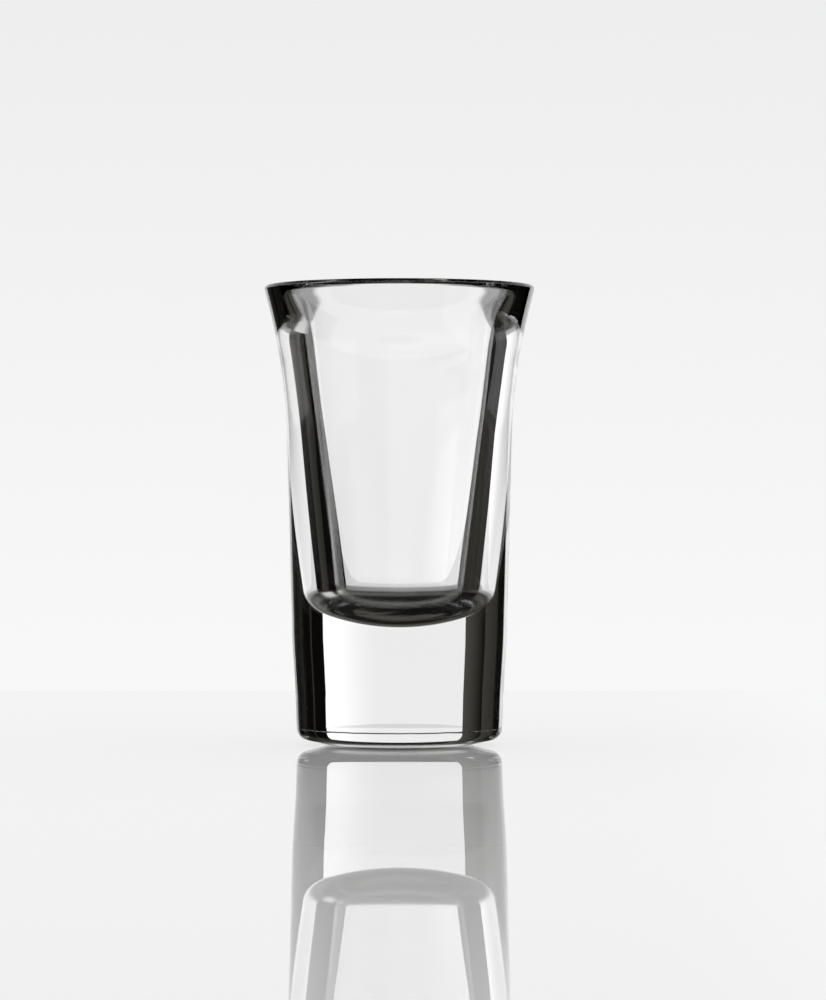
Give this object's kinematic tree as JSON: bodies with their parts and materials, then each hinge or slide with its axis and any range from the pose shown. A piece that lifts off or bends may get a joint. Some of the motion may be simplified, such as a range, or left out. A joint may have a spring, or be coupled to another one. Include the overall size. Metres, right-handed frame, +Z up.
{
  "type": "shot glass",
  "caption": "Flared shot glass pressed in one piece of clear glass, with a heavy solid base, a tapered bowl and a rounded lip.",
  "frame": {"origin": "centre of the base, on the surface that the glass stands on", "axes": "+Z up along the axis of the glass; it is a turned form, so X and Y may be turned freely about Z"},
  "size_m": [0.044, 0.044, 0.075],
  "materials": {
    "clear_glass": "clear soda-lime glass, pressed and fire polished"
  },
  "bodies": {
    "root": {"shot_glass": "clear_glass"}
  },
  "joints": []
}
